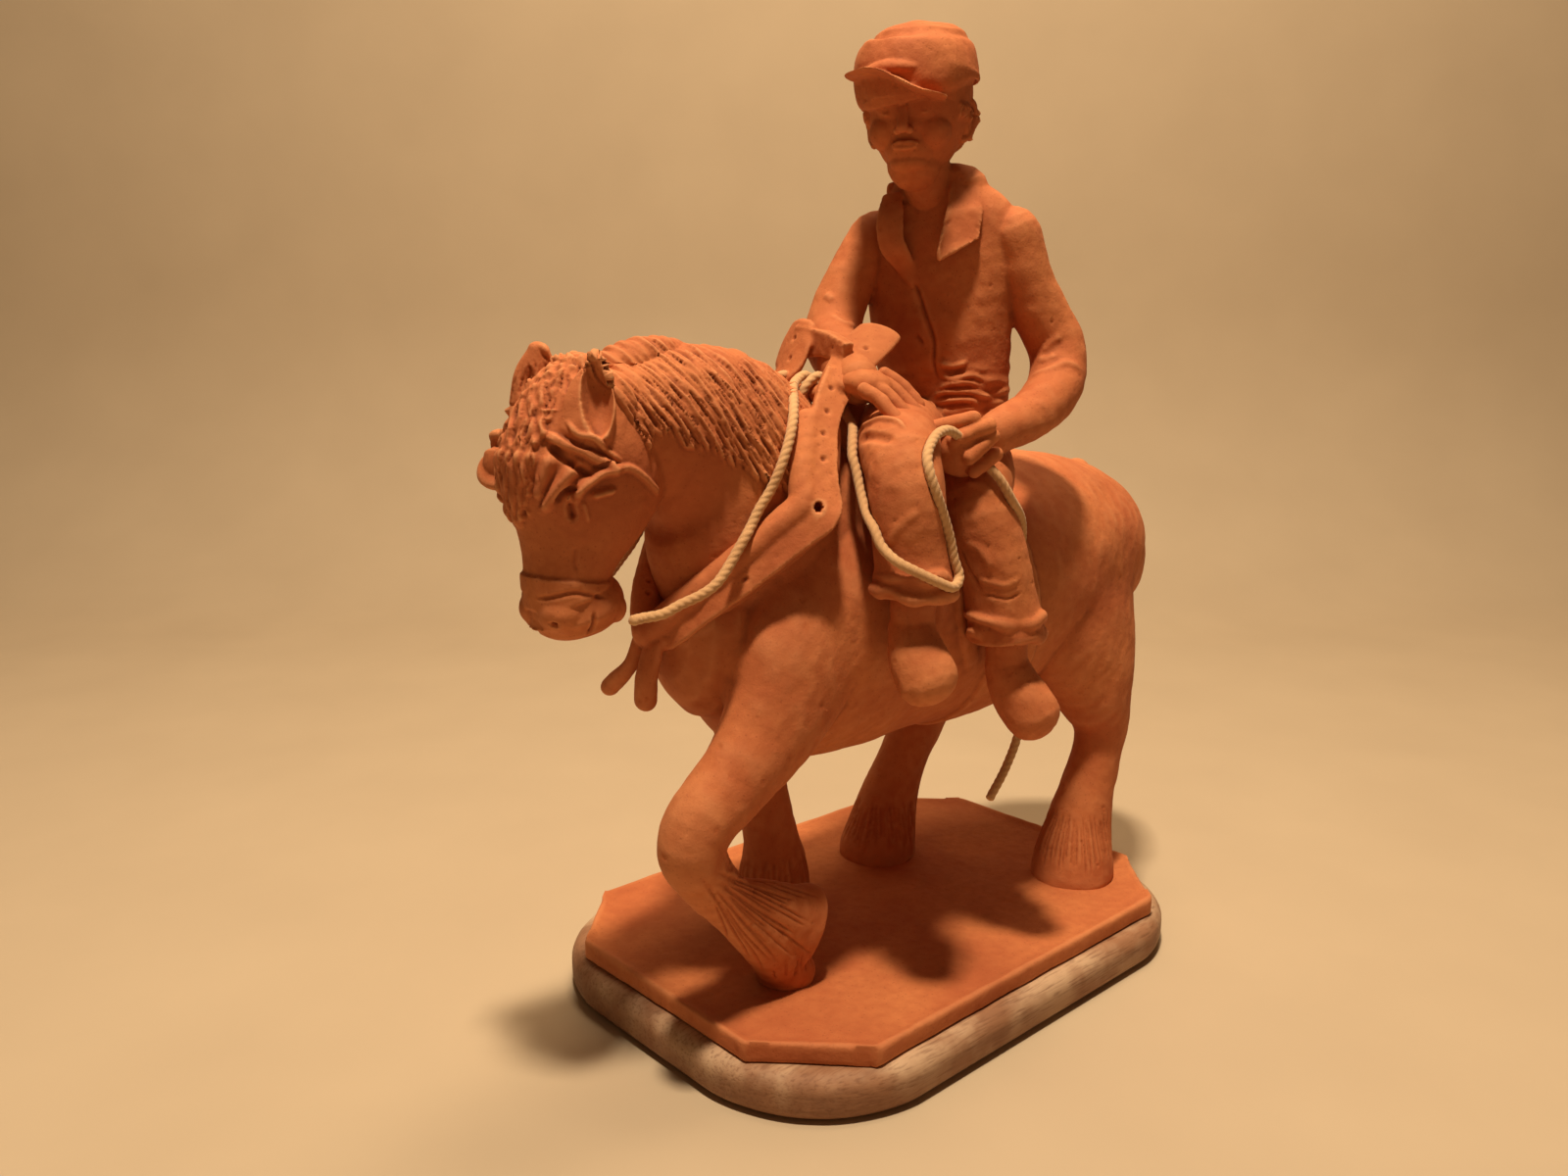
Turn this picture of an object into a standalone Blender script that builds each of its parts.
"""Terracotta horse and rider on a wooden plinth, with cotton reins.

A working horse in collar and hames, and a rider who sits sideways on it, are
modelled in one piece with the slab they stand on. The slab rests on a wooden
plinth, and two cotton cords are the reins.

Frame: metres, +Z up. The origin is the middle of the plinth's underside, -X is
the way the horse goes and -Y is its near side, where the rider's legs hang.
The sizes below are millimetres, and MM turns them into metres.
"""

import math

import bmesh
import bpy
import numpy as np
from mathutils import Matrix, Vector

MM = 0.001
ACROSS = Vector((0, 1, 0))
UP = Vector((0, 0, 1))
EAR_BROAD = Vector((0.8, -0.6, 0))  # the way the ears are broad

# Plinth and slab: elongated octagons, one over the other
PLINTH_LENGTH, PLINTH_WIDTH, PLINTH_HEIGHT = 281.0, 202.0, 19.0
PLINTH_CORNER_ROUND, PLINTH_EDGE_ROUND = 24.0, 7.0
SLAB_LENGTH, SLAB_WIDTH, SLAB_HEIGHT = 267.0, 187.0, 9.5
SLAB_CHAMFER_ACROSS, SLAB_CHAMFER_DOWN = 6.0, 2.2
CLIP_ALONG, CLIP_ACROSS = 37.0, 38.0  # how much of each corner is cut off
TOUCHING_GAP = 0.3
SLAB_FOOT = PLINTH_HEIGHT + TOUCHING_GAP
SLAB_TOP = SLAB_FOOT + SLAB_HEIGHT

# The clay figure as it is faceted here
VOXEL = 1.6
SMOOTHING = 4
FIGURE_TRIANGLES = 6480

# Horse: its middle plane, and its rolls as rows of (x, z, half width, half depth)
HORSE_Y = -4.0
TRUNK = [
    (-103, 177, 28, 36),
    (-79, 175, 45, 57),
    (-43, 174, 52, 66),
    (-3, 173, 53, 63),
    (42, 176, 55, 60),
    (88, 185, 58, 58),
    (126, 188, 53, 48),
    (149, 184, 36, 32),
]
NECK = [
    (-55, 192, 42, 60),
    (-81, 222, 34, 55),
    (-103, 249, 28, 42),
    (-125, 260, 25, 32),
    (-146, 262, 21, 24),
]
HEAD = [
    (-150, 275, 16, 10),
    (-161, 266, 21, 25),
    (-162, 250, 24, 34),
    (-163, 234, 22.5, 32),
    (-167.5, 218, 17.5, 22.5),
    (-171.5, 206, 17, 17),
    (-170, 197, 18.5, 18.5),
    (-169, 192.5, 16, 15.5),
]
WITHERS = (-36, -8, 250)
TAIL = [(150, 222, 8, 9), (160, 210, 9, 9), (163, 194, 7, 7)]

# Legs: rows of (x, y, z, half width, half depth) from the trunk down
NEAR_FORE = [
    (-80, -34, 172, 21, 32),
    (-97, -35, 148, 18, 23),
    (-118, -36, 128, 14.5, 17),
    (-136, -36, 115, 13.5, 14.5),
    (-141, -35, 103, 13, 13.5),
    (-134, -34, 89, 11.5, 12),
    (-120, -33, 73, 10, 11),
    (-106, -33, 57, 10.5, 11.5),
    (-94, -30, 43, 12, 12),
    (-87, -27, 32, 12, 12),
]
OFF_FORE = [
    (-66, 26, 165, 20, 28),
    (-60, 27, 130, 16, 20),
    (-53, 28, 100, 13, 14),
    (-49, 28, 80, 12.5, 13),
    (-45, 28, 62, 13, 14),
    (-43, 28, 46, 16, 17),
    (-43, 28, 31, 18, 18),
]
NEAR_HIND = [
    (90, -34, 178, 25, 44),
    (98, -42, 150, 21, 34),
    (108, -47, 122, 17, 23),
    (113, -49, 104, 13, 17),
    (110, -49, 86, 11.5, 14.5),
    (103, -48, 64, 14, 16),
    (97, -48, 44, 18, 19),
    (95, -48, 30, 21, 21),
]
OFF_HIND = [
    (84, 26, 176, 24, 44),
    (80, 30, 146, 20, 32),
    (76, 34, 118, 16, 23),
    (71, 36, 98, 13, 17),
    (60, 37, 78, 12, 14),
    (49, 38, 56, 15, 16),
    (41, 38, 31, 20, 20),
]
NEAR_FORE_FEATHER = [
    (-118, -33, 78, 8, 6),
    (-103, -33, 66, 10, 12),
    (-90, -32, 55, 12, 17),
    (-81, -31, 49, 13, 19.5),
]

# Harness: a hame as rows of (x, out from the middle plane, z, half width, half thickness)
HAME = [
    (-134, 7, 180, 5, 2.5),
    (-131, 12, 185, 5.5, 2.5),
    (-126, 18, 192, 6, 2.5),
    (-118.5, 25, 200, 6.5, 2.5),
    (-110.5, 31, 208, 7, 2.5),
    (-102.5, 36.5, 216, 7.5, 2.5),
    (-95, 41, 223, 8, 2.5),
    (-88, 44.5, 230, 9, 2.5),
    (-84, 41, 239, 7.5, 2.5),
    (-79, 37, 249, 6, 2.5),
    (-72.5, 31, 260, 6, 2.5),
    (-64, 26, 270, 6.5, 2.5),
    (-53, 21, 279, 7.5, 3),
]
HOOK_HOLE = (-88, 44.5, 231)
NEAR_HORN = [(-58, -27, 277, 7, 3), (-49, -26, 284, 9.5, 3), (-37, -24, 292, 10.5, 3), (-27, -22, 298, 10, 3)]
FAR_HORN = [(-56, 15, 274, 8, 3), (-51, 10, 282, 13, 3.2), (-46, 9, 293, 14, 3.2), (-43, 8, 301, 10.5, 3)]
FAR_TONGUE = [(-135, 1, 178, 3.5, 3.5), (-138, 4, 168, 3, 3.5), (-140, 16, 157, 4, 4)]
NEAR_TONGUE = [(-135, -8, 178, 5, 3.5), (-138, -7, 166, 5, 4), (-137, -4, 155, 5, 4.5)]
BRIDGE = [(-45, 9, 294, 7, 2.5), (-47, -10, 293, 5.5, 2.5), (-50, -26, 289, 4.5, 2.5)]
REIN_BAR = [(-57, -28, 273, 3.8, 3.8), (-57, 20, 273, 3.8, 3.8)]
COLLAR_TOP = [(-70, -26, 248, 9, 9), (-58, -12, 254, 9, 9), (-56, 4, 254, 9, 9), (-70, 18, 248, 9, 9)]

# Rider: ways to the front and the left, and rolls of (x, y, z, half across, half deep)
TO_LEFT = Vector((0.45, -0.89, 0)).normalized()
TO_FRONT = Vector((-0.89, -0.45, 0)).normalized()
TORSO = [
    (24, -10, 238, 30, 27),
    (27, -13, 262, 28.5, 21),
    (24, -12, 298, 32, 22),
    (22, -13, 330, 35, 20),
    (20, -14, 346, 34, 17),
    (17, -14, 358, 23, 13),
]
RIDER_NECK = [(18, -14, 350, 12, 12), (8, -15, 366, 11, 12), (2, -16, 380, 11, 12)]
RIDER_HEAD = [
    (-4, -18, 362, 9, 9),
    (-2, -17, 371, 15.5, 18),
    (0, -16, 384, 21, 23),
    (1, -16, 398, 22.5, 25),
    (2, -16, 407, 20, 22),
]
LEFT_ARM = [
    (36, -41, 340, 12.5, 12.5),
    (45, -45, 316, 12.5, 12.5),
    (56, -52, 293, 12.5, 12.5),
    (49, -58, 276, 12.5, 12),
    (28, -62, 264, 11, 11),
    (2, -62, 256, 8.5, 9),
]
RIGHT_ARM = [
    (7, 13, 340, 13, 13),
    (-8, 17, 318, 12, 12),
    (-21, 13, 296, 12.5, 13),
    (-35, -8, 286, 11.5, 12),
    (-47, -29, 278, 9.5, 10),
]
RIGHT_LEG = [
    (14, -4, 246, 22, 21),
    (-24, -31, 254, 19, 19),
    (-50, -56, 250, 16, 16),
    (-57, -66, 236, 15, 15.5),
    (-56, -68, 214, 15, 15),
    (-55, -69, 197, 16.5, 17),
]
LEFT_LEG = [
    (32, -20, 240, 21, 21),
    (8, -46, 238, 18, 18),
    (-7, -60, 228, 15.5, 16),
    (-4, -66, 208, 15, 15.5),
    (1, -69, 186, 15.5, 15.5),
    (4, -70, 171, 16.5, 17),
]

# Reins: a soft cotton cord, and the places that it goes through
CORD_DIAMETER = 4.0
CORD_CLEARANCE = 0.4
NEAR_REIN = [
    (-160, -27, 194),
    (-155, -26, 194),
    (-148, -29, 195),
    (-141, -31, 198),
    (-134, -34, 201),
    (-128, -36, 205),
    (-122, -36, 211),
    (-118, -36, 216),
    (-114, -36, 221),
    (-110, -35, 225),
    (-106, -35, 231),
    (-101, -36, 238),
    (-97, -37, 246),
    (-92, -36, 255),
    (-87, -33, 263),
    (-81, -27, 270),
    (-73, -18, 275),
    (-65, -11, 278),
    (-57, -9, 280),
    (-50, -11, 273),
    (-57, -13, 266),
    (-64, -14, 273),
    (-57, -16, 280),
    (-50, -19, 273),
    (-50, -25, 265),
    (-54, -33, 260),
    (-60, -39, 255),
    (-64, -43, 249),
    (-65, -46, 244),
    (-67, -51, 235),
    (-70, -57, 228),
    (-73, -64, 223),
    (-74, -69, 217),
    (-73, -76, 212),
    (-68, -82, 208),
    (-61, -86, 204),
    (-53, -87, 201),
    (-47, -85, 204),
    (-48, -83, 211),
    (-50, -82, 220),
    (-54, -82, 229),
    (-58, -82, 237),
    (-60, -80, 245),
    (-58, -77, 251),
    (-52, -74, 256),
    (-44, -71, 259),
    (-35, -69, 259),
    (-25, -68, 254),
    (-17, -70, 247),
    (-11, -75, 239),
    (-5, -77, 230),
    (4, -75, 222),
    (11, -71, 213),
    (16, -66, 203),
    (20, -62, 188),
    (25, -61, 170),
    (30, -61, 145),
    (29, -60, 120),
    (22, -59, 104),
    (12, -58, 91),
]
FAR_REIN = [
    (-160, 19, 194),
    (-155, 18, 194),
    (-148, 21, 195),
    (-141, 23, 198),
    (-134, 26, 201),
    (-128, 28, 205),
    (-122, 28, 211),
    (-118, 28, 216),
    (-114, 28, 221),
    (-110, 27, 225),
    (-106, 27, 231),
    (-101, 28, 238),
    (-97, 29, 246),
    (-92, 28, 255),
    (-87, 25, 263),
    (-81, 19, 270),
    (-73, 12, 275),
    (-65, 6, 278),
    (-57, 3, 280),
    (-50, 1, 273),
]
ROUTES = {"near_rein": NEAR_REIN, "far_rein": FAR_REIN}


def smooth_rows(rows, steps):
    """The rows again, with steps of a smooth curve from each one to the next."""
    rows = np.array(rows, float)
    run = np.vstack([2 * rows[0] - rows[1], rows, 2 * rows[-1] - rows[-2]])
    found = []
    for before, here, there, after in zip(run, run[1:], run[2:], run[3:]):
        for step in range(steps):
            t = step / steps
            bend = 2 * before - 5 * here + 4 * there - after
            turn = 3 * here - before - 3 * there + after
            found.append(here + 0.5 * ((there - before) * t + bend * t**2 + turn * t**3))
    return np.array(found + [rows[-1]])


def ovals(rows, side, steps):
    """Centre, way along, half axis across and half axis deep of each oval of a roll."""
    rows = smooth_rows(rows, steps)
    centres = [Vector(row[:3]) for row in rows]
    found = []
    for i, row in enumerate(rows):
        along = (centres[min(i + 1, len(rows) - 1)] - centres[max(i - 1, 0)]).normalized()
        across = (side - side.dot(along) * along).normalized()
        found.append((centres[i], along, across * row[3], along.cross(across) * row[4]))
    return found


def dome_ovals(oval, way, share):
    """The narrowing ovals that round off a roll's end, from the end's own oval outwards."""
    centre, along, across, deep = oval
    reach = share * min(across.length, deep.length)
    found = []
    for angle in (25, 50, 75):
        out, narrow = math.sin(math.radians(angle)), math.cos(math.radians(angle))
        found.append((centre + along * (way * out * reach), along, across * narrow, deep * narrow))
    return found


def add_ovals(bm, run, sides, square=False):
    """A closed skin over a run of ovals, or of rectangles if square."""
    sides, turn, size = (4, math.pi / 4, math.sqrt(2)) if square else (sides, 0.0, 1.0)
    rings = []
    for centre, along, across, deep in run:
        frame = Matrix((across * size, deep * size, along)).transposed().to_4x4()
        place = Matrix.Translation(centre) @ frame @ Matrix.Rotation(turn, 4, "Z")
        made = bmesh.ops.create_circle(bm, segments=sides, radius=1.0, matrix=place)
        rings.append(made["verts"])
    for one, two in zip(rings, rings[1:]):
        for i in range(sides):
            j = (i + 1) % sides
            bm.faces.new((one[i], one[j], two[j], two[i]))
    bm.faces.new(rings[0][::-1])
    bm.faces.new(rings[-1])


def add_roll(bm, rows, side=ACROSS, steps=4, sides=16, domes=(1.0, 1.0), square=False):
    """A roll of clay through rows of (x, y, z, half across, half deep), with round ends."""
    run = ovals(rows, side, steps)
    start = dome_ovals(run[0], -1, domes[0])[::-1] if domes[0] else []
    end = dome_ovals(run[-1], 1, domes[1]) if domes[1] else []
    add_ovals(bm, start + run + end, sides, square)


def add_band(bm, rows, side, low, high, lift):
    """A strap round a roll, from place low to place high along it, lift above its skin."""
    run = ovals(rows, side, 8)
    run = run[round(low * (len(run) - 1)) : round(high * (len(run) - 1)) + 1]
    lifted = [(c, a, x + x.normalized() * lift, d + d.normalized() * lift) for c, a, x, d in run]
    add_ovals(bm, lifted, 24)


def on_roll(rows, side, place, turn, lift=0.0):
    """A point lift above a roll's skin: place runs 0 to 1, turn is degrees from across to deep."""
    run = ovals(rows, side, 8)
    centre, along, across, deep = run[round(place * (len(run) - 1))]
    c, s = math.cos(math.radians(turn)), math.sin(math.radians(turn))
    out = across.normalized() * c / across.length + deep.normalized() * s / deep.length
    return centre + across * c + deep * s + out.normalized() * lift


def add_ball(bm, centre, radii, yaw=0.0, pitch=0.0):
    """A ball of clay with three half axes, tilted by pitch and then turned by yaw."""
    turn = Matrix.Rotation(math.radians(yaw), 4, "Z") @ Matrix.Rotation(math.radians(pitch), 4, "Y")
    place = Matrix.Translation(centre) @ turn @ Matrix.Diagonal((*radii, 1.0))
    bmesh.ops.create_uvsphere(bm, u_segments=16, v_segments=10, radius=1.0, matrix=place)


def add_lock(bm, points, wide, thick, side):
    """A lock of hair: a thin roll that narrows to its tip."""
    last = len(points) - 1
    rows = [(*p, wide * (1 - 0.55 * i / last), thick * (1 - 0.4 * i / last)) for i, p in enumerate(points)]
    add_roll(bm, rows, side, steps=2, sides=8)


def in_middle(rows):
    """Rows of (x, z, half width, half depth) on the horse's middle plane."""
    return [(x, HORSE_Y, z, wide, deep) for x, z, wide, deep in rows]


def add_trunk_and_head(bm):
    """The trunk, neck, head and docked tail, with cheeks and nostrils."""
    add_roll(bm, in_middle(TRUNK), sides=28)
    add_roll(bm, in_middle(NECK), sides=24)
    add_roll(bm, in_middle(HEAD), sides=20, domes=(1.0, 0.4))
    add_roll(bm, in_middle(TAIL), sides=12)
    add_ball(bm, WITHERS, (24, 26, 20))
    for way in (-1, 1):
        add_ball(bm, (-148, HORSE_Y + way * 10, 236), (14, 12, 17), pitch=30)
        add_ball(bm, (-180, HORSE_Y + way * 9, 199), (7.5, 7, 7))


def add_legs(bm):
    """Four legs that run into the slab, and the long hair behind the raised foot."""
    for rows in (NEAR_FORE, OFF_FORE, NEAR_HIND, OFF_HIND):
        sole = (*rows[-1][:2], SLAB_TOP - 3, *rows[-1][3:])
        add_roll(bm, rows + [sole], sides=18, domes=(1.0, 0.0))
    add_roll(bm, NEAR_FORE_FEATHER, sides=18, domes=(1.0, 0.25))
    add_roll(bm, [(-89, -28, 36, 12.5, 12), (-84, -26, SLAB_TOP - 2, 13, 13)], sides=16, domes=(1.0, 0.0))


def add_ears(bm):
    """Two pricked ears, broad across; their hollows are cut later."""
    near = [(-174.5, -22, 263, 9.5, 6), (-172, -22, 275, 8.5, 5), (-170.5, -22, 283, 4.5, 3.5)]
    far = [(-175, 11, 271, 9, 6), (-174, 11, 282, 7.5, 5), (-173, 10, 290, 4, 3.5)]
    for rows in (near, far):
        add_roll(bm, rows, EAR_BROAD, sides=14)


def add_hair(bm):
    """The mane, which falls to the near side, and the forelock."""
    neck = in_middle(NECK)
    for i in range(24):
        place = 0.3 + 0.68 * i / 23
        turns = (80, 105, 130, 152, 172 + 7 * (i % 3))
        points = [on_roll(neck, ACROSS, place, -turn, 0.6) for turn in turns]
        add_lock(bm, points, 4.5, 2.4, Vector((1, 0, 0.2)))
    head = in_middle(HEAD)
    for i in range(9):
        turn = 15 + 105 * i / 8
        places = (0.05, 0.17, 0.3, 0.4 + 0.03 * (i % 3))
        points = [on_roll(head, ACROSS, place, -turn, 1.2) for place in places]
        add_lock(bm, points, 4.5, 2.4, ACROSS)


def hame_rows(way, back, inward, up, rounds=None):
    """The rows of the near (way -1) or far (1) hame, moved, and with other half axes if given."""
    rows = []
    for x, out, z, wide, thick in HAME:
        wide, thick = rounds or (wide, thick)
        rows.append((x + back, HORSE_Y + way * (out - inward), z + up, wide, thick))
    return rows


def add_hames(bm):
    """The collar's padded rolls, the hames over them, and what joins the hames at top and bottom."""
    for way, horn in ((-1, NEAR_HORN), (1, FAR_HORN)):
        add_roll(bm, hame_rows(way, 0, 0, 0), Vector((0.35, way * 0.6, -0.7)), square=True, domes=(0, 0))
        add_roll(bm, horn, Vector((0.1, way * 0.9, -0.4)), sides=16)
        add_roll(bm, hame_rows(way, -3, 6, 2, (6, 6))[:11], UP, sides=12)
        add_roll(bm, hame_rows(way, 7, 8, -3, (8, 8))[1:11], UP, sides=12)
    add_roll(bm, COLLAR_TOP, UP, sides=14)
    add_roll(bm, BRIDGE, UP, square=True, domes=(0, 0))
    add_roll(bm, REIN_BAR, UP, sides=12)
    add_roll(bm, [(-134, -14, 180, 6, 5), (-134, 6, 180, 6, 5)], UP, sides=12)
    for tongue in (NEAR_TONGUE, FAR_TONGUE):
        add_roll(bm, tongue, ACROSS, sides=12)


def add_straps(bm):
    """Noseband, girth, the two straps over the brow, and the blinkers."""
    head = in_middle(HEAD)
    add_band(bm, head, ACROSS, 0.68, 0.72, 1.8)
    add_band(bm, head, ACROSS, 0.76, 0.79, 1.4)
    add_band(bm, in_middle(TRUNK), ACROSS, 0.38, 0.44, 1.6)
    for way in (-1, 1):
        for drop in (0, 5):
            strap = [(-184, 20, 269), (-172, 25, 262), (-158, 25, 254), (-146, 21, 247)]
            rows = [(x, HORSE_Y + way * y, z - drop, 1.8, 1.8) for x, y, z in strap]
            add_roll(bm, rows, UP, sides=8)
        rows = [(-176, HORSE_Y + way * 24, 240, 3, 2.5), (-166, HORSE_Y + way * 27, 247, 3.5, 3)]
        add_roll(bm, rows + [(-152, HORSE_Y + way * 24, 251, 3, 2.5)], UP, sides=10)
    add_ball(bm, (-183, HORSE_Y + 27, 247), (6.5, 3, 9), yaw=-30)


def add_shoe(bm, ankle, toe):
    """A round-toed shoe: toe is the middle of its cap, below and in front of the ankle."""
    ankle, toe = Vector(ankle), Vector(toe)
    middle = ankle.lerp(toe, 0.5) + Vector((0, 1, -1))
    rows = [(*ankle, 9.5, 9.5), (*middle, 12, 11.5), (*toe, 12.5, 10)]
    add_roll(bm, rows, TO_LEFT, sides=14)


def add_hand_on_knee(bm):
    """The rider's right hand, flat on the thigh with four fingers side by side."""
    add_ball(bm, (-49, -36, 277.5), (12, 9, 7), yaw=-40, pitch=10)
    fingers = [
        ((-39, -36, 280), (-31.5, -48, 267.5)),
        ((-46, -38, 278), (-38, -52, 265)),
        ((-52.5, -41, 275.5), (-47, -55, 263.5)),
        ((-58.5, -44, 273.5), (-56, -56, 264)),
    ]
    for knuckle, tip in fingers:
        middle = Vector(knuckle).lerp(Vector(tip), 0.5) + UP * 1.5
        rows = [(*place, 2.7, 2.7) for place in (knuckle, middle, tip)]
        add_roll(bm, rows, TO_LEFT, sides=8)


def add_fist(bm):
    """The rider's left hand, closed round the rein with the fingers across its front."""
    middle = Vector((-18, -61, 252))
    add_ball(bm, middle, (14, 11, 13))
    right, out = Vector((0.74, -0.67, 0)), Vector((-0.66, -0.73, 0.19))
    fingers = [
        ((-14, 6, 8), (3, 10, 8)),
        ((-5, 1, 11), (9, 7, 9)),
        ((1, -6, 11), (11, 3, 7)),
        ((4, -11, 8), (13, -4, 4)),
    ]
    for ends in fingers:
        places = [middle + right * a + UP * b + out * c for a, b, c in ends]
        add_roll(bm, [(*place, 3.2, 3.2) for place in places], UP, sides=8)


def add_face(bm):
    """A calm, plain face: eyes half way up the head, nose, lips and chin evenly below."""
    front = Vector((-1.5, -17, 0)) + TO_FRONT * 21
    bridge, nose_tip = front + UP * 389, front + UP * 378 + TO_FRONT * 2.5
    add_roll(bm, [(*bridge, 2.5, 2.5), (*nose_tip, 3.5, 3)], TO_LEFT, sides=10)
    add_ball(bm, front + UP * 370.5 - TO_FRONT * 4, (3.5, 6, 2), yaw=27)
    add_ball(bm, front + UP * 363.5 - TO_FRONT * 7, (5, 6, 4), yaw=27)
    for way in (-1, 1):
        add_ball(bm, Vector((1, -16, 385)) + TO_LEFT * way * 23.5, (5, 2.5, 7), yaw=27)
        add_ball(bm, front + UP * 380 + TO_LEFT * way * 9 - TO_FRONT * 8, (6, 6, 6))


def add_cap(bm):
    crown = Vector((1, -15, 402))
    add_ball(bm, crown, (27.5, 25, 19.5), yaw=27, pitch=4)
    add_ball(bm, crown + TO_FRONT * 25 - UP * 2 - TO_LEFT * 3, (18, 21, 3), yaw=27, pitch=10)


def add_rider(bm):
    """The rider, with both legs to the near side, in an open-necked shirt, trousers and cap."""
    add_roll(bm, TORSO, TO_LEFT, sides=24)
    add_roll(bm, RIDER_NECK, TO_LEFT)
    add_roll(bm, RIDER_HEAD, TO_LEFT, sides=20)
    add_roll(bm, LEFT_ARM, TO_LEFT)
    add_roll(bm, RIGHT_ARM, TO_LEFT)
    for rows, ankle, toe in (
        (RIGHT_LEG, (-56, -69, 182), (-59, -80, 164)),
        (LEFT_LEG, (5, -70, 156), (9, -82, 136)),
    ):
        add_roll(bm, rows, TO_LEFT, domes=(1.0, 0.0))
        add_roll(bm, [(*rows[-1][:3], 9, 9), (*ankle, 9, 9)], TO_LEFT, sides=12)
        add_shoe(bm, ankle, toe)
    for way, tip in ((-1, (-10, -6, 333)), (1, (-6, -30, 331))):
        side_of_neck = Vector((17, -14, 358)) + TO_LEFT * way * 19
        front_of_neck = Vector((6, -19, 350)) + TO_LEFT * way * 17
        rows = [(*side_of_neck, 8, 4), (*front_of_neck, 9, 3), (*tip, 4, 2.5)]
        add_roll(bm, rows, TO_LEFT + UP * 0.5, sides=10)
    add_hand_on_knee(bm)
    add_fist(bm)
    add_face(bm)
    add_cap(bm)


def octagon(length, width):
    """The corners of an elongated octagon, going round it."""
    along, across = length / 2, width / 2
    corners = []
    for turn_x, turn_y in ((1, 1), (-1, 1), (-1, -1), (1, -1)):
        end = (turn_x * along, turn_y * (across - CLIP_ACROSS))
        flank = (turn_x * (along - CLIP_ALONG), turn_y * across)
        corners += [end, flank] if turn_x == turn_y else [flank, end]
    return corners


def new_object(name, bm, collection, colour, roughness):
    """An object in metres from a bmesh in millimetres, with a material of its own."""
    bmesh.ops.recalc_face_normals(bm, faces=bm.faces)
    bmesh.ops.scale(bm, vec=(MM, MM, MM), verts=bm.verts)
    mesh = bpy.data.meshes.new(name)
    bm.to_mesh(mesh)
    bm.free()
    mesh.shade_smooth()
    obj = bpy.data.objects.new(name, mesh)
    collection.objects.link(obj)
    give_material(obj, colour, roughness)
    return obj


def give_material(obj, colour, roughness):
    material = bpy.data.materials.new(obj.name)
    material.use_nodes = True
    shader = material.node_tree.nodes["Principled BSDF"]
    shader.inputs["Base Color"].default_value = (*colour, 1.0)
    shader.inputs["Roughness"].default_value = roughness
    obj.data.materials.append(material)


def made_mesh(obj):
    """The mesh that an object's modifiers or bevel make."""
    bpy.context.view_layer.update()
    graph = bpy.context.evaluated_depsgraph_get()
    return bpy.data.meshes.new_from_object(obj.evaluated_get(graph))


def bake_modifiers(obj):
    """Put what an object's modifiers make into its own mesh."""
    baked = made_mesh(obj)
    baked.shade_smooth()
    obj.modifiers.clear()
    obj.data = baked


def prism(bm, corners, low, high):
    """An upright prism on a row of corners."""
    base = bm.faces.new([bm.verts.new((x, y, low)) for x, y in corners])
    made = bmesh.ops.extrude_face_region(bm, geom=[base])["geom"]
    top = [part for part in made if isinstance(part, bmesh.types.BMVert)]
    bmesh.ops.translate(bm, vec=(0, 0, high - low), verts=top)
    bmesh.ops.recalc_face_normals(bm, faces=bm.faces)


def flat_edges(bm):
    """The edges that lie level, round the top and the bottom of a prism."""
    return [edge for edge in bm.edges if abs(edge.verts[0].co.z - edge.verts[1].co.z) < 1e-6]


def upright_edges(bm):
    return [edge for edge in bm.edges if abs(edge.verts[0].co.z - edge.verts[1].co.z) > 1e-6]


def round_off(bm, edges, radius, segments):
    bmesh.ops.bevel(bm, geom=edges, offset=radius, segments=segments, profile=0.5, affect="EDGES")


def make_plinth(collection):
    """The wooden board: an octagon with its corners rounded off and a rounded edge."""
    bm = bmesh.new()
    prism(bm, octagon(PLINTH_LENGTH, PLINTH_WIDTH), 0.0, PLINTH_HEIGHT)
    round_off(bm, upright_edges(bm), PLINTH_CORNER_ROUND, 3)
    round_off(bm, flat_edges(bm), PLINTH_EDGE_ROUND, 2)
    plinth = new_object("plinth", bm, collection, (0.45, 0.31, 0.20), 0.7)
    plinth.data.set_sharp_from_angle(angle=math.radians(40))


def add_slab(bm):
    """The clay slab: an octagon with a low slope round its top."""
    prism(bm, octagon(SLAB_LENGTH, SLAB_WIDTH), SLAB_FOOT, SLAB_TOP)
    top = max(bm.faces, key=lambda face: face.calc_center_median().z)
    rim = list(top.verts)
    bmesh.ops.inset_region(bm, faces=[top], thickness=SLAB_CHAMFER_ACROSS)
    bmesh.ops.translate(bm, vec=(0, 0, -SLAB_CHAMFER_DOWN), verts=rim)


def cord_points(route):
    """Points a couple of diameters apart on the smooth curve through a route."""
    fine = smooth_rows(route, 16)
    along = np.concatenate([[0], np.cumsum(np.linalg.norm(np.diff(fine, axis=0), axis=1))])
    at = np.linspace(0, along[-1], round(along[-1] / (2.6 * CORD_DIAMETER)) + 1)
    return np.stack([np.interp(at, along, fine[:, k]) for k in range(3)], axis=1) * MM


def make_cord(name, route, diameter, collection):
    """A tube along a route, with closed ends."""
    curve = bpy.data.curves.new(name, "CURVE")
    curve.dimensions = "3D"
    curve.bevel_depth = diameter / 2 * MM
    curve.bevel_resolution = 2
    curve.use_fill_caps = True
    spline = curve.splines.new("POLY")
    points = cord_points(route)
    spline.points.add(len(points) - 1)
    for point, place in zip(spline.points, points):
        point.co = (*place, 1.0)
    obj = bpy.data.objects.new(name, curve)
    collection.objects.link(obj)
    give_material(obj, (0.62, 0.50, 0.36), 0.9)
    return obj


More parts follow.
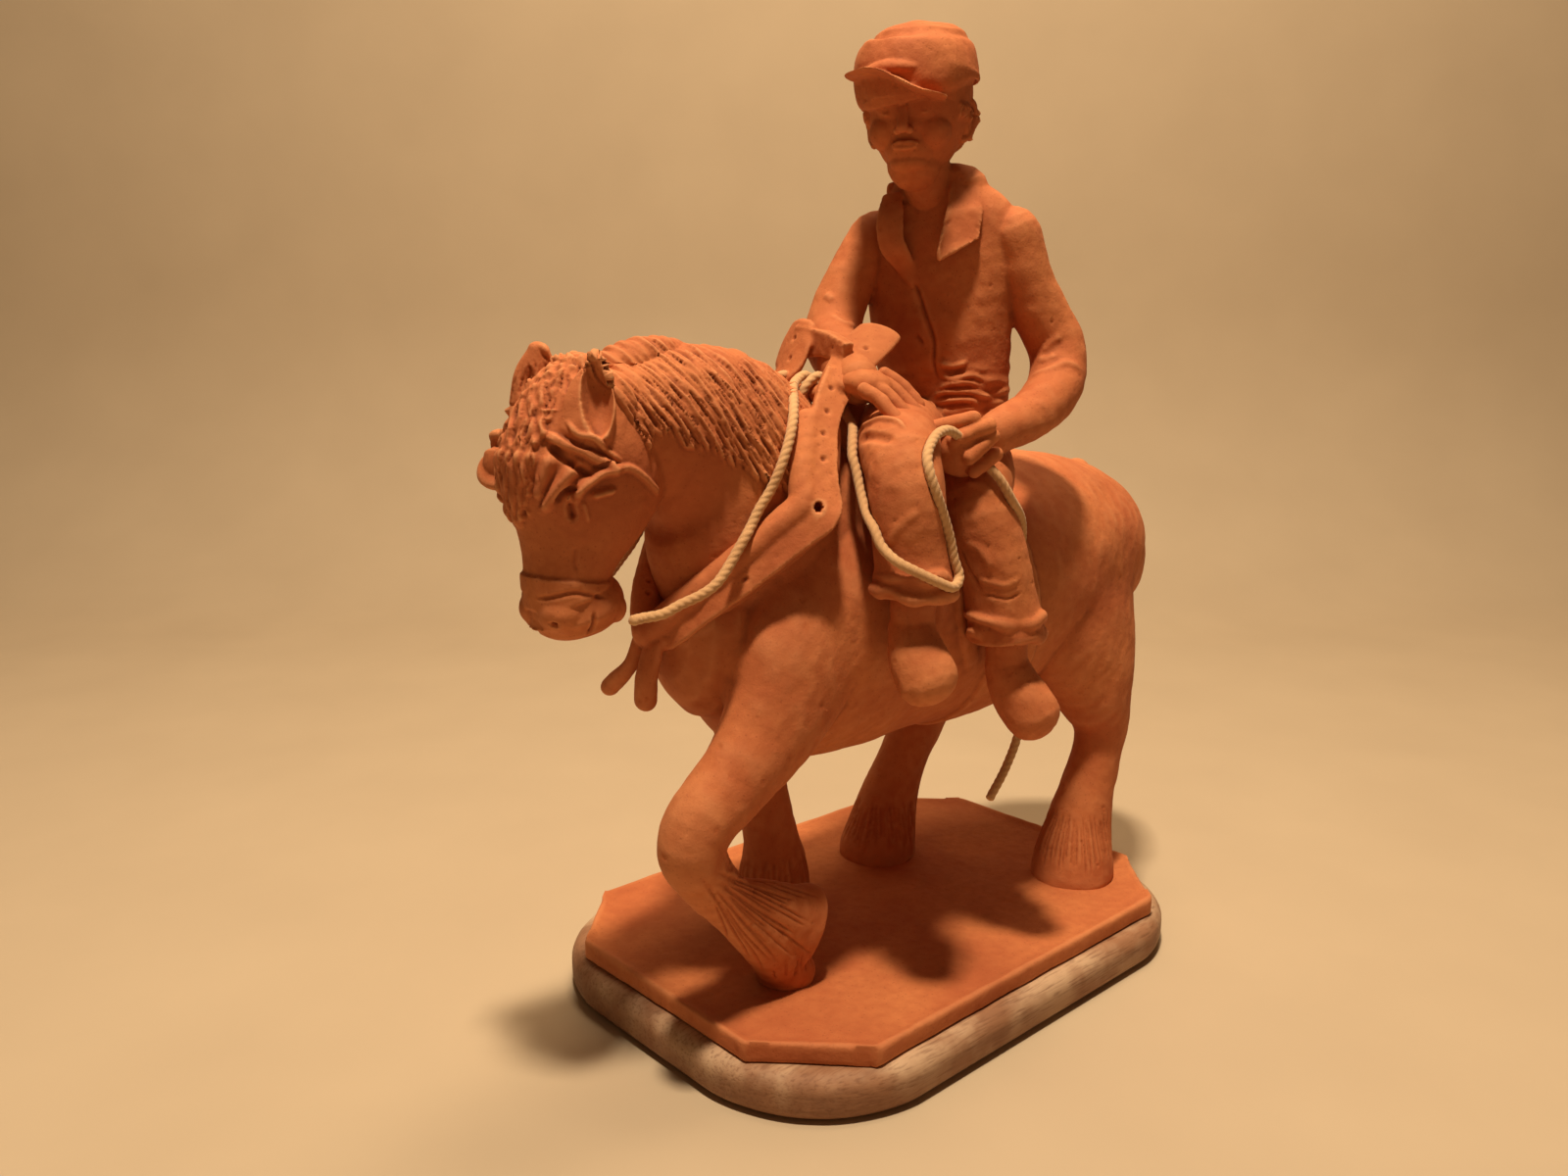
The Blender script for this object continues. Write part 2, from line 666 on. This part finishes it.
def make_figure(collection, cutters):
    """The horse, its harness and the rider in one skin of clay, on the slab."""
    bm = bmesh.new()
    add_trunk_and_head(bm)
    add_legs(bm)
    add_ears(bm)
    add_hair(bm)
    add_hames(bm)
    add_straps(bm)
    add_rider(bm)
    figure = new_object("horse_and_rider", bm, collection, (0.42, 0.17, 0.07), 0.75)
    clay = figure.modifiers.new("One skin", "REMESH")
    clay.mode = "VOXEL"
    clay.voxel_size = VOXEL * MM
    soften = figure.modifiers.new("Soften", "SMOOTH")
    soften.iterations = SMOOTHING
    bake_modifiers(figure)
    triangles = sum(len(face.vertices) - 2 for face in figure.data.polygons)
    facets = figure.modifiers.new("Facets", "DECIMATE")
    facets.ratio = FIGURE_TRIANGLES / triangles

    bm = bmesh.new()
    add_slab(bm)
    slab = new_object("slab", bm, cutters, (0.42, 0.17, 0.07), 0.75)
    slab.data.shade_flat()
    join = figure.modifiers.new("Stand on the slab", "BOOLEAN")
    join.operation = "UNION"
    join.object = slab
    join.solver = "EXACT"
    return figure


def cut_away(figure, name, bm, cutters):
    """Cut a shape in metres out of the figure."""
    mesh = bpy.data.meshes.new(name)
    bmesh.ops.remove_doubles(bm, verts=bm.verts, dist=1e-6)
    bmesh.ops.recalc_face_normals(bm, faces=bm.faces)
    bm.to_mesh(mesh)
    bm.free()
    cutter = bpy.data.objects.new(name, mesh)
    cutters.objects.link(cutter)
    cut = figure.modifiers.new(name, "BOOLEAN")
    cut.operation = "DIFFERENCE"
    cut.object = cutter
    cut.solver = "EXACT"


def cut_way_of_cord(figure, name, route, cutters):
    """Cut the way of a cord, a little wider than the cord."""
    way = make_cord(name + "_way", route, CORD_DIAMETER + 2 * CORD_CLEARANCE, cutters)
    bm = bmesh.new()
    bm.from_mesh(made_mesh(way))
    bpy.data.objects.remove(way)
    cut_away(figure, name + "_channel", bm, cutters)


def cut_hollows(figure, cutters):
    """The hollows of the ears, and the hole for a draught hook in each hame."""
    bm = bmesh.new()
    add_ball(bm, (-177.5, -26.5, 273), (4.5, 3.5, 9), yaw=-40)
    add_ball(bm, (-180, 7, 281), (4, 3, 8), yaw=-40)
    for way in (-1, 1):
        place = (HOOK_HOLE[0], HORSE_Y + way * HOOK_HOLE[1], HOOK_HOLE[2])
        add_ball(bm, place, (2, 4, 2.5), yaw=way * 40)
    bmesh.ops.scale(bm, vec=(MM, MM, MM), verts=bm.verts)
    cut_away(figure, "hollows", bm, cutters)


def new_collection(name):
    collection = bpy.data.collections.new(name)
    bpy.context.scene.collection.children.link(collection)
    return collection


def main():
    for obj in list(bpy.data.objects):
        bpy.data.objects.remove(obj)
    pieces = new_collection("Terracotta horse and rider")
    cutters = new_collection("Cutters")
    make_plinth(pieces)
    figure = make_figure(pieces, cutters)
    cut_hollows(figure, cutters)
    for name, route in ROUTES.items():
        make_cord(name, route, CORD_DIAMETER, pieces)
        cut_way_of_cord(figure, name, route, cutters)
    for cutter in cutters.objects:
        cutter.hide_render = True
        cutter.display_type = "WIRE"


main()
